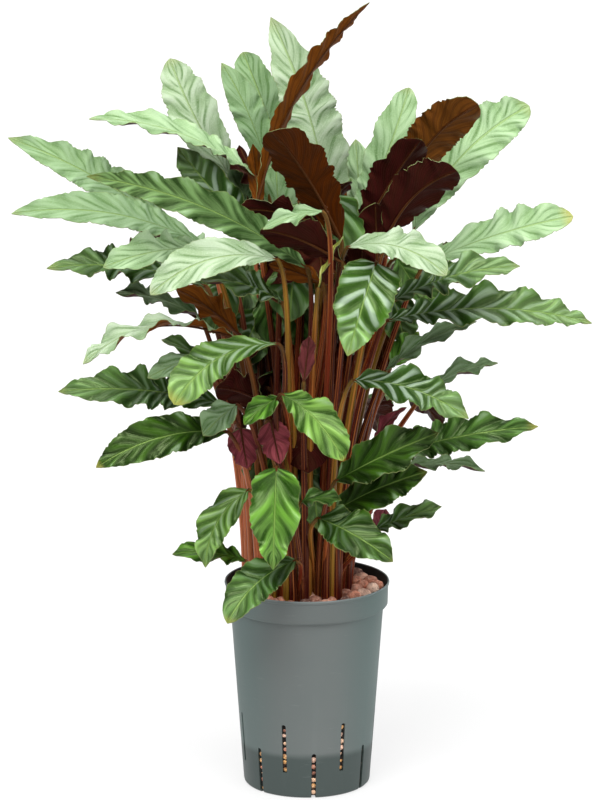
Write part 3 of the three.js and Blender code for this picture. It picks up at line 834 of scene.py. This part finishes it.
LEAF_SKINS = (upper_skin(), lower_skin(), margin_skin())
large_leaves = [
    # Left side, from the top down
    Leaf(4, (-45, 5, 560), (-192, -20, 616), 40, (0, -3, 9), MINT, wave=0.8, arch=0.08, bend=0.04),
    Leaf(4, (-66, 35, 552), (-123, 60, 658), 46, (0, -9, 4), PALE, wave=0.4, bend=-0.045, base=0.8,
         point=0.65),
    Leaf(4, (-35, 60, 555), (-77, 80, 651), 34, (3, -9, 3), SAGE, wave=0.4, bend=0.01),
    Leaf(5, (-24, 80, 574), (-58, 100, 658), 36, (0, -9, 2), SAGE, wave=0.4, point=0.6),
    Leaf(4, (-50, 15, 505), (-115, 10, 586), 42, (-2, -9, 3), DEEP, silver=0.8, wave=1.3),
    Leaf(3, (-109, 10, 502), (-267, 30, 591), 40, (0, -7, 7), SAGE, wave=0.6, silver=0.1),
    Leaf(3, (-90, -10, 500), (-260, -40, 535), 42, (0, -6, 8), SAGE, wave=0.5, silver=0.1, arch=0.07,
         bend=0.05),
    Leaf(1, (0, -60, 490), (-190, -105, 580), 38, (0, -8, 6), MOSS, wave=0.7, fresh=0.35, root=1.3,
         arch=0.05, bend=0.05, base=0.8),
    Leaf(3, (-90, -15, 465), (-230, -35, 485), 40, (0, -5, 8), DEEP, silver=0.4, wave=1.3),
    Leaf(2, (-90, -45, 505), (-178, -75, 494), 38, (0, -6, 7), MINT, point=0.75),
    Leaf(1, (-26, -95, 505), (-135, -130, 481), 42, (0, -7, 7), PALE, wave=0.6, arch=0.12, bend=0.08,
         point=0.7),
    Leaf(3, (-95, 0, 432), (-170, -20, 460), 32, (0, -4, 9), SAGE, wave=1.3),
    Leaf(1, (-22, -72, 462), (-95, -105, 490), 40, (0, -5, 8), DARK, silver=0.5, wave=1.3),
    Leaf(2, (-60, -75, 430), (-195, -105, 414), 30, (0, 4, 8), PALE, AMBER, arch=0.17, twist=-60, point=0.7,
         wave=1.3),
    Leaf(2, (-25, -95, 430), (-115, -135, 385), 42, (0, -7, 7), MEADOW, silver=0.5, fresh=0.45, tipped=0.8,
         arch=0.13, bend=0.09, base=1.2, point=0.55),
    Leaf(3, (-75, -30, 360), (-220, -55, 378), 42, (0, -7, 7), DEEP, silver=0.3, wave=1.3),
    Leaf(2, (-70, -70, 345), (-185, -100, 320), 42, (-1, -8, 5), DARK, fresh=0.1, tipped=0.9, bend=0.06,
         wave=1.2),
    Leaf(2, (-52, -62, 290), (-90, -85, 225), 34, (-3, -8, 4), MEADOW, silver=0.3, fresh=0.4, bend=0.1,
         base=0.7),
    # Front, from the top down
    Leaf(9, (30, -60, 515), (-30, -110, 620), 50, (0, 8, 6), SAGE, BROWN, wave=0.6, base=0.8, point=0.5),
    Leaf(8, (30, -80, 500), (-40, -105, 533), 44, (0, 8, 6), SAGE, point=0.7),
    Leaf(8, (60, -85, 500), (35, -120, 425), 57, (0, -9, 4), GREEN, silver=0.85, fresh=1, tipped=0.5,
         base=0.4),
    Leaf(8, (35, -80, 513), (120, -115, 495), 38, (0, -6, 8), PALE, wave=0.6, arch=0.12, bend=-0.07,
         point=0.6),
    Leaf(1, (-22, -95, 385), (31, -130, 334), 38, (0, -8, 6), MEADOW, root=1.1, fresh=0.2, tipped=0.6,
         bend=-0.06, base=0.8, point=0.65),
    Leaf(1, (-27, -97, 319), (-30, -120, 233), 48, (0, -9, 4), GREEN, root=1.2, fresh=0.9, tipped=0.1,
         base=0.45),
    Leaf(1, (-10, -80, 230), (-70, -125, 185), 42, (0, -6, 8), DEEP, silver=0.15, fresh=0.25, tipped=0.6,
         bend=0.06, base=0.7, point=0.7),
    Leaf(8, (10, -85, 270), (75, -120, 240), 46, (0, -7, 7), DARK, silver=0.1, fresh=0.05, base=0.7),
    # Right side, from the top down
    Leaf(9, (-45, -10, 540), (55, 10, 715), 32, (-7, 5, 3), SAGE, AMBER, wave=0.6, point=0.8),
    Leaf(5, (25, 95, 485), (-33, 135, 685), 57, (0, -9, 3), PALE, wave=0.4, bend=0.04, base=0.8),
    Leaf(6, (40, 40, 495), (92, 70, 630), 40, (-1, -9, 3), MINT, wave=0.4, bend=0.03, point=0.6),
    Leaf(6, (95, 30, 505), (200, 60, 615), 54, (-2, -8, 5), MINT, bend=-0.06, point=0.55),
    Leaf(7, (80, 5, 535), (150, -25, 630), 48, (0, 9, 4), SAGE, (0.1, 0.032, 0.005), jag=2, bend=0.07,
         base=0.8, point=0.5),
    Leaf(9, (45, -15, 505), (100, -35, 600), 42, (0, 9, 4), SAGE, jag=2, point=0.6),
    Leaf(8, (70, -45, 515), (130, -80, 580), 52, (0, 8, 5), SAGE, jag=2, bend=0.07, base=0.8, point=0.55),
    Leaf(7, (105, -10, 485), (235, -25, 530), 42, (0, -7, 7), MINT, wave=0.8, tipped=1.0, arch=0.06,
         point=0.55),
    Leaf(8, (75, -65, 462), (185, -90, 498), 38, (0, -6, 8), MOSS, silver=0.5, wave=1.3),
    Leaf(7, (70, -45, 440), (250, -65, 442), 46, (0, -6, 8), DEEP, silver=0.6, fresh=0.6, arch=0.1,
         wave=1.3),
    Leaf(8, (40, -85, 395), (140, -125, 370), 38, (0, -7, 7), DEEP, silver=0.7, fresh=0.3, bend=-0.045,
         wave=1.3),
    Leaf(7, (60, -30, 310), (205, -50, 345), 38, (0, -7, 7), DEEP, fresh=0.1, tipped=0.8, arch=0.06,
         wave=1.3),
    Leaf(8, (25, -70, 300), (115, -95, 350), 44, (0, -8, 6), DARK, fresh=0.15, arch=0.05),
    Leaf(8, (25, -60, 270), (106, -80, 311), 42, (0, -8, 6), DARK),
    # Back, from the top down
    Leaf(5, (-15, 90, 520), (-20, 205, 560), 52, (0, 3, 9), MINT),
    Leaf(4, (-75, 70, 470), (-165, 150, 470), 50, (0, 3, 9), SAGE),
    Leaf(6, (60, 75, 450), (145, 165, 460), 50, (0, 3, 9), SAGE, silver=0.3),
    Leaf(5, (-25, 85, 430), (-55, 205, 400), 52, (0, 3, 9), GREEN, arch=0.15),
    Leaf(6, (70, 60, 350), (125, 130, 300), 48, (0, 3, 9), DEEP, arch=0.15),
    Leaf(4, (-50, 75, 370), (-105, 160, 330), 50, (0, 3, 9), DEEP, silver=0.5, arch=0.15),
    Leaf(6, (40, 80, 335), (70, 165, 285), 48, (0, 3, 9), GREEN, arch=0.15),
    Leaf(5, (5, 80, 310), (20, 180, 250), 48, (0, 3, 9), DEEP, arch=0.15),
    Leaf(4, (-35, 65, 290), (-45, 140, 225), 44, (0, 3, 9), GREEN, arch=0.15),
]
make_blades("blade", large_leaves, 0)

# Young leaves are the small ones among the stalks, each grown to its own stalk. Some hang with their
# plum-coloured undersides to the light.
YOUNG_SEED = 59
young_leaves = [
    Leaf(2, (-60, -55, 430), (-115, -75, 475), 28, (0, 8, 5), SAGE, AMBER),
    Leaf(3, (-90, 0, 390), (-130, -10, 415), 22, (0, -5, 8), DEEP, silver=0.4),
    Leaf(2, (-95, -60, 410), (-140, -75, 395), 24, (0, -7, 6), SAGE, silver=0.2),
    Leaf(2, (-62, -85, 373), (-91, -100, 349), 30, (0, -7, 7), SAGE, silver=0.2),
    Leaf(1, (-25, -85, 380), (-55, -105, 360), 24, (0, -7, 7), GREEN),
    Leaf(2, (-59, -60, 346), (-53, -75, 313), 30, (0, 9, -4), GREEN, PURPLE, jag=2.5, base=0.5),
    Leaf(1, (-32, -79, 357), (-24, -90, 321), 30, (0, 9, -4), GREEN, PURPLE, jag=2.5, base=0.5),
    Leaf(2, (-55, -45, 220), (-120, -60, 230), 30, (0, -5, 8), GREEN),
    Leaf(1, (-5, -85, 285), (30, -100, 290), 22, (0, -5, 8), DEEP),
    Leaf(7, (85, -5, 295), (160, -15, 295), 22, (0, -3, 9), SAGE, silver=0.1),
    Leaf(8, (60, -30, 245), (120, -45, 270), 26, (0, -6, 8), DEEP, silver=0.3, fresh=0.6, arch=0.03),
    Leaf(7, (105, -20, 370), (170, -25, 397), 22, (0, -4, 9), SAGE, silver=0.2),
    Leaf(5, (50, 115, 492), (45, 135, 572), 34, (0, -9, 3), MINT),
    Leaf(9, (10, -35, 525), (-65, -50, 540), 28, (0, 8, 6), MINT),
    Leaf(7, (70, -25, 390), (150, -40, 438), 22, (0, -5, 8), SAGE, silver=0.2),
    Leaf(7, (75, -5, 390), (100, 0, 420), 24, (0, -8, 4), GREEN),
    Leaf(9, (-40, 0, 455), (-30, -5, 410), 30, (0, -8, 5), DEEP),
    Leaf(9, (-10, 5, 450), (-5, 0, 405), 28, (0, -8, 5), DEEP),
    Leaf(2, (-40, -55, 370), (-80, -70, 385), 40, (0, 9, 3), DEEP),
    Leaf(5, (-22, 60, 420), (-30, 88, 345), 40, (0, 9, 3), DEEP),
    Leaf(5, (5, 60, 430), (5, 90, 350), 42, (0, 9, 3), DEEP),
    Leaf(6, (40, 45, 425), (50, 62, 350), 40, (0, 9, 3), DEEP),
    Leaf(4, (-55, 45, 400), (-70, 70, 330), 38, (0, 9, 3), DEEP),
    Leaf(5, (5, 58, 300), (5, 82, 228), 40, (0, 9, 3), DEEP),
    Leaf(6, (35, 50, 290), (50, 72, 215), 40, (0, 9, 3), DEEP),
    Leaf(8, (13, -108, 550), (-38, -118, 536), 18, (0, -6, 8), MINT),
    Leaf(7, (60, -10, 322), (89, -15, 354), 14, (-5, 8, 3), GREEN, PURPLE),
    Leaf(1, (-3, -85, 394), (2, -92, 436), 16, (0, 9, -2), GREEN, (0.11, 0.024, 0.028), jag=2.5),
]
make_blades("young_blade", young_leaves, YOUNG_SEED)

# Inner leaves fill the clump between the others. They hardly show, only as dark green and burgundy behind
# the stalks, so a rule hangs them round the clump's middle, lowest first, in dark tones that are partly
# painted shade. The rows after the rule are leaves that do show between the others.
INNER_LEAVES = 66
INNER_LOW = 300
INNER_HIGH = 555
INNER_CLEAR = (360, 490)
INNER_STRAY = (-0.3, 0.3)
INNER_NEAR = 14
INNER_FAR = 34
INNER_GAIN = 14
INNER_REACH = (12, 30)
INNER_HANG = (-62, -40)
INNER_RISE = (10, 40)
INNER_WIDTH = (36, 50)
INNER_SEED = 119
INNER_STEPS = 4
CLUMP_LEAN = 8
GOLDEN_TURN = math.radians(137.5)


def nearest_shoot(spot):
    return min(range(1, SHOOTS + 1), key=lambda shoot: (shoot_place(shoot) - spot.to_2d()).length)


def inner_leaf(number, chance):
    """One leaf of the rule. Every fourth rises and the others hang, and every third faces inwards."""
    share = (number + 0.5) / INNER_LEAVES
    height = INNER_LOW + (INNER_HIGH - INNER_LOW) * share
    turn = GOLDEN_TURN * number + chance.uniform(*INNER_STRAY)
    out = Vector((math.cos(turn), math.sin(turn), 0))
    middle = Vector((CLUMP.x + CLUMP_LEAN * share, CLUMP.y, height))
    neck = middle + out * chance.uniform(INNER_NEAR, INNER_FAR + INNER_GAIN * share)
    hang = chance.uniform(*INNER_HANG) if number % 4 else chance.uniform(*INNER_RISE)
    tip = neck + out * chance.uniform(*INNER_REACH) + Vector((0, 0, hang))
    # Dark greens, partly painted shade inside the clump
    upper = chance.choice((DEEP, DARK, DARK))
    face = (out.x, out.y, 0.3) if number % 3 else (-out.x, -out.y, 0.3)
    width = chance.uniform(*INNER_WIDTH)
    return Leaf(nearest_shoot(neck), neck, tip, width, face, upper, BURGUNDY, silver=0.3)


inner_chance = random.Random(21)
inner_leaves = [inner_leaf(number, inner_chance) for number in range(INNER_LEAVES)]
inner_leaves = [leaf for leaf in inner_leaves
                if leaf.neck.y > 0 or not INNER_CLEAR[0] < leaf.neck.z < INNER_CLEAR[1]]
inner_leaves += [
    Leaf(1, (10, -85, 478), (31, -88, 524), 9, (-9, -3, 2), (0.3, 0.34, 0.06), arch=0.03),
    Leaf(9, (25, -40, 482), (-15, -45, 520), 44, (0, 9, 3), DEEP),
    Leaf(9, (13, -60, 477), (-33, -66, 495), 22, (0, 9, 2), DEEP, AMBER),
    Leaf(8, (62, -35, 490), (60, -42, 545), 40, (0, 9, 3), DEEP),
    Leaf(4, (-40, 25, 440), (-62, 10, 385), 44, (0, -9, 3), DARK, silver=0.3),
    Leaf(3, (-70, 5, 470), (-84, -5, 420), 36, (0, -9, 3), DARK, silver=0.3),
    Leaf(7, (75, 5, 460), (88, 0, 410), 36, (0, -9, 3), DARK, silver=0.3),
    Leaf(7, (66, 8, 430), (69, 4, 378), 26, (0, 9, 2), DARK, BROWN),
    Leaf(7, (80, 8, 486), (99, 4, 456), 28, (0, -9, 4), DEEP),
    Leaf(9, (-25, 22, 515), (-28, 26, 568), 38, (0, -9, 3), SAGE, wave=0.5),
    Leaf(7, (90, 0, 458), (121, -4, 449), 22, (0, -8, 5), DEEP, fresh=0.2),
    Leaf(4, (-54, 28, 533), (-63, 32, 571), 26, (0, -9, 3), SAGE),
    Leaf(8, (47, -22, 472), (50, -28, 511), 30, (0, 9, 3), DEEP),
    Leaf(9, (-33, 25, 483), (-39, 30, 438), 36, (0, -9, 3), MOSS),
    Leaf(8, (62, -26, 240), (71, -24, 262), 17, (0, 9, 2), GREEN, (0.24, 0.06, 0.08)),
    Leaf(9, (-43, -2, 533), (-48, 2, 590), 17, (0, 9, 2), SAGE, AMBER, jag=2.5),
    Leaf(4, (-50, 22, 483), (-60, 27, 431), 30, (0, -9, 3), MOSS),
    Leaf(4, (-74, 10, 467), (-99, 4, 458), 18, (0, -6, 8), DEEP),
]
make_blades("inner_blade", inner_leaves, INNER_SEED, INNER_STEPS)

# The stalks are ribbed and burgundy, 3 to 7 mm thick, and rise in a dense bundle from the granules.
# Each one swells a little below its blade and runs on under it as the midrib.
FOOT_REACH = 12
FOOT_HEIGHT = 166
CAD_FOOT_HEIGHT = 178
STALK_FOOT = 3.5
STALK_TIP = 1.6
STALK_TAPER = 0.8
SHORT_STOUTNESS = 0.55
TALL_GAIN = 0.45
TALL_STALK = 200
STALK_RISE = 0.5
STALK_LEAN = 0.8
STALK_HANDLE = 24
HANDLE_SHARE = 0.2
STALK_STEPS = 26
KNEE_SWELL = 0.2
KNEE_LENGTH = 14
KNEE_PLACE = 0.8
RIB_STEPS = 14
RIB_END = 0.93
RIB_ONSET = 20
RIB_CROWDING = 1.6
RIB_TIP = 0.35
RIB_TAPER = 1.4
RIB_SINK = 0.95
RIB_CLEARANCE = 0.1
WIDE_LEAF = 36
TUBE_SIDES = 10
RIDGES = 5
RIDGE_HEIGHT = 0.05
RIDGE_TURN = 0.9

STALK_WINE = (0.055, 0.004, 0.006)
STALK_RED = (0.2, 0.022, 0.005)
STALK_LIT_LEFT = (0.66, 0.2, 0.1)
STALK_GOLDEN = (0.24, 0.13, 0.016)
STALK_LINE = (0.42, 0.14, 0.035)
STALK_BLACK = (0.01, 0.001, 0.002)
STALK_NECK = (0.06, 0.045, 0.01)
STALK_MIDRIB = (0.05, 0.012, 0.004)
STALK_SHADE = (0.028, 0.002, 0.004)
STALK_FUZZ = (0.35, 0.18, 0.1)


def stalk_feet(number, leaves):
    """The foot of each leaf's stalk in its shoot, in turn round it, so that few stalks cross."""
    place = shoot_place(number)
    spots = []
    for order in range(len(leaves)):
        turn = order * GOLDEN_TURN
        reach = FOOT_REACH * math.sqrt((order + 0.5) / len(leaves))
        spots.append(reach * Vector((math.cos(turn), math.sin(turn))))
    aims = [leaf.neck.to_2d() - place for leaf in leaves]
    mean = sum((aim.normalized() for aim in aims), Vector((0.001, 0)))
    by_spot = sorted(spots, key=mean.angle_signed)
    by_leaf = sorted(range(len(leaves)), key=lambda index: mean.angle_signed(aims[index]))
    feet = dict(zip(by_leaf, by_spot))
    return [place + feet[index] for index in range(len(leaves))]


def stalk_line(leaf, spot):
    """The stalk's centres and radii, from its foot to the midrib's end under the blade."""
    foot = Vector((spot.x, spot.y, CAD_FOOT_HEIGHT))
    into = leaf.at(0)[1]
    leaning = (into + Vector((0, 0, STALK_LEAN))).normalized()
    reach = (leaf.neck - foot).length
    lower = foot + Vector((0, 0, STALK_RISE * reach))
    upper = leaf.neck - leaning * min(STALK_HANDLE, HANDLE_SHARE * reach)
    stout = SHORT_STOUTNESS + TALL_GAIN * min(1.0, (leaf.neck.z - CAD_FOOT_HEIGHT) / TALL_STALK)
    widest = STALK_FOOT * stout
    line = [(Vector((spot.x, spot.y, FOOT_HEIGHT)), widest)]
    for step in range(STALK_STEPS + 1):
        s = step / STALK_STEPS
        start = foot * (1 - s) ** 3 + lower * (3 * s * (1 - s) ** 2)
        centre = start + upper * (3 * s * s * (1 - s)) + leaf.neck * s**3
        knee = 1 + KNEE_SWELL * math.exp(-(((1 - s) * leaf.neck.z / KNEE_LENGTH - KNEE_PLACE) ** 2))
        line.append((centre, (STALK_TIP + (widest - STALK_TIP) * (1 - s) ** STALK_TAPER) * knee))
    for step in range(1, RIB_STEPS + 1):
        s = RIB_END * (step / RIB_STEPS) ** RIB_CROWDING
        middle, _, up = leaf.at(s)
        radius = RIB_TIP + (STALK_TIP - RIB_TIP) * (1 - s) ** RIB_TAPER
        sunk = up * (radius * RIB_SINK * min(1.0, RIB_ONSET * s) + RIB_CLEARANCE)
        line.append((middle - sunk, radius * min(1.0, leaf.width / WIDE_LEAF)))
    return line


def grow_tube(bm, line, tone, layers):
    """A grid rolled round the line, with shallow ribs along it. make_shoot merges its seam and closes its
    ends.
    """
    made = bmesh.ops.create_grid(bm, x_segments=len(line) - 1, y_segments=TUBE_SIDES, size=1)["verts"]
    across = Vector((1, 0, 0))
    rings = []
    for index, (centre, radius) in enumerate(line):
        before = line[max(0, index - 1)][0]
        after = line[min(len(line) - 1, index + 1)][0]
        along = (after - before).normalized()
        across = (across - across.dot(along) * along).normalized()
        rings.append((centre, radius, across.copy(), along.cross(across)))
    for vert in made:
        index = round((vert.co.x + 1) / 2 * (len(line) - 1))
        turn = (vert.co.y + 1) * math.pi
        centre, radius, first, second = rings[index]
        ribbed = radius * (1 + RIDGE_HEIGHT * math.cos(RIDGES * turn + RIDGE_TURN))
        vert[layers["along"]] = index / (len(line) - 1)
        vert[layers["each"]] = tone
        vert[layers["round"]] = math.cos(RIDGES * turn)
        vert[layers["front"]] = math.cos(turn)
        vert[layers["beside"]] = math.sin(turn)
        vert.co = (centre + (first * math.cos(turn) + second * math.sin(turn)) * ribbed) * MM


def stalk_skin():
    """Burgundy with paler lines and golden on some stalks, with painted light on the stalks at the left and
    painted shade in the clump's middle.
    """
    skin = Finish("stalk_skin")
    each = skin.own("each")
    along = skin.own("along")
    lobe = skin.own("round")
    sideways = skin.axis("X")
    height = skin.axis("Z")
    turned = skin.joined(skin.own("front") * 3.2, skin.own("beside") * 3.2, along * 1.2 + each * 40)
    streak = skin.noise(turned, 1.0, 3)
    patch = skin.noise(skin.spread(30, 30, 6), 1.0)
    fuzz = skin.noise(skin.spread(1500, 1500, 700), 1.0)
    # Where painted shade falls on the stalks in the clump's middle
    within = skin.rise(height, 0.3, 0.34) * skin.rise(height, 0.47, 0.42)
    colour = skin.coats(
        STALK_WINE,
        (skin.rise(each, 0.1, 0.7), STALK_RED),
        # Painted light on the stalks at the left, where the key lamp falls
        (skin.rise(sideways, -0.036, -0.05) * 0.9, STALK_LIT_LEFT),
        (skin.rise(each + patch * 0.4, 0.84, 1.02), STALK_GOLDEN),
        (skin.rise(streak, 0.52, 0.6) * 0.8, STALK_LINE),
        (skin.rise(streak, 0.46, 0.34) * 0.8, STALK_BLACK),
        (skin.rise(lobe, 0.0, -0.95) * 0.4, STALK_BLACK),
        (skin.rise(along, 0.5, 0.62) * 0.75, STALK_NECK),
        (skin.rise(along, 0.65, 0.68) * 0.8, STALK_MIDRIB),
        # Painted shade in the clump's middle
        (within * skin.rise(sideways, -0.012, -0.03) * 0.72, STALK_SHADE),
        (skin.rise(fuzz, 0.6, 0.72) * 0.12, STALK_FUZZ),
    )
    relief = skin.bump(streak + lobe * 0.3 + fuzz * 0.3, 0.0004)
    return skin.skin(Base_Color=colour, Roughness=0.3 + 0.2 * streak, Normal=relief,
                     Specular_IOR_Level=0.3, Specular_Tint=(1, 0.5, 0.2))


def make_shoot(number, leaves, skin):
    chance = random.Random(number)
    bm = bmesh.new()
    layers = {n: bm.verts.layers.float.new(n) for n in ("along", "each", "round", "front", "beside")}
    for leaf, spot in zip(leaves, stalk_feet(number, leaves)):
        grow_tube(bm, stalk_line(leaf, spot), chance.random(), layers)
    bmesh.ops.remove_doubles(bm, verts=bm.verts, dist=1e-6)
    bmesh.ops.holes_fill(bm, edges=[e for e in bm.edges if e.is_boundary], sides=TUBE_SIDES)
    bmesh.ops.recalc_face_normals(bm, faces=bm.faces)
    piece = made_object(f"stalks_{number}", bm, skin)
    piece.data.shade_smooth()
    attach(piece, "root")
    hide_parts(f"shoot_{number}")


stalk_finish = stalk_skin()
every_leaf = large_leaves + young_leaves + inner_leaves
shoots = [[leaf for leaf in every_leaf if leaf.shoot == number] for number in range(1, SHOOTS + 1)]
for number, leaves in enumerate(shoots, 1):
    make_shoot(number, leaves, stalk_finish)

# Fine pale hairs grow all over the stalks and make them look soft, as the plant's name says. They are
# under 2 mm long, bend a little under their own weight, and are rooted just below the stalks' skin.
HAIR_LENGTH = 1.7
HAIR_RADIUS = 0.045
HAIR_MIDDLE = 0.6
HAIR_LIFT = (-0.2, 0.5)
HAIR_DROOP = (-0.3, 0.1)
HAIR_STRAY = (-6, 6)
HAIR_ROOT = 0.9
HAIRS_A_STALK = 170
POINTS_A_HAIR = 3
HAIR_BROWN = (0.3, 0.12, 0.07)
HAIR_PALE = (0.55, 0.36, 0.24)


def make_hairs(leaves_by_shoot):
    chance = random.Random(8)
    points = []
    for number, leaves in enumerate(leaves_by_shoot, 1):
        for leaf, spot in zip(leaves, stalk_feet(number, leaves)):
            line = stalk_line(leaf, spot)[1:STALK_STEPS + 1]
            for _ in range(HAIRS_A_STALK):
                centre, radius = chance.choice(line)
                turn = chance.uniform(0, 2 * math.pi)
                out = Vector((math.cos(turn), math.sin(turn), chance.uniform(*HAIR_LIFT)))
                root = centre + out * radius * HAIR_ROOT + Vector((0, 0, chance.uniform(*HAIR_STRAY)))
                droop = Vector((0, 0, chance.uniform(*HAIR_DROOP)))
                points += [root, root + out * HAIR_LENGTH * 0.5, root + (out + droop) * HAIR_LENGTH]
    data = bpy.data.hair_curves.new("stalk_hairs")
    count = len(points) // POINTS_A_HAIR
    data.add_curves([POINTS_A_HAIR] * count)
    data.points.foreach_set("position", [c * MM for point in points for c in point])
    width = data.attributes.new("radius", "FLOAT", "POINT")
    radii = [HAIR_RADIUS * MM, HAIR_RADIUS * HAIR_MIDDLE * MM, 0]
    width.data.foreach_set("value", radii * count)
    down = Finish("stalk_hair")
    tone = down.mix(down.noise(down.place(), 90), HAIR_BROWN, HAIR_PALE)
    data.materials.append(down.skin(Base_Color=tone, Roughness=0.6))
    hairs = stood("stalk_hairs", data)
    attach(hairs, "root")


make_hairs(shoots)
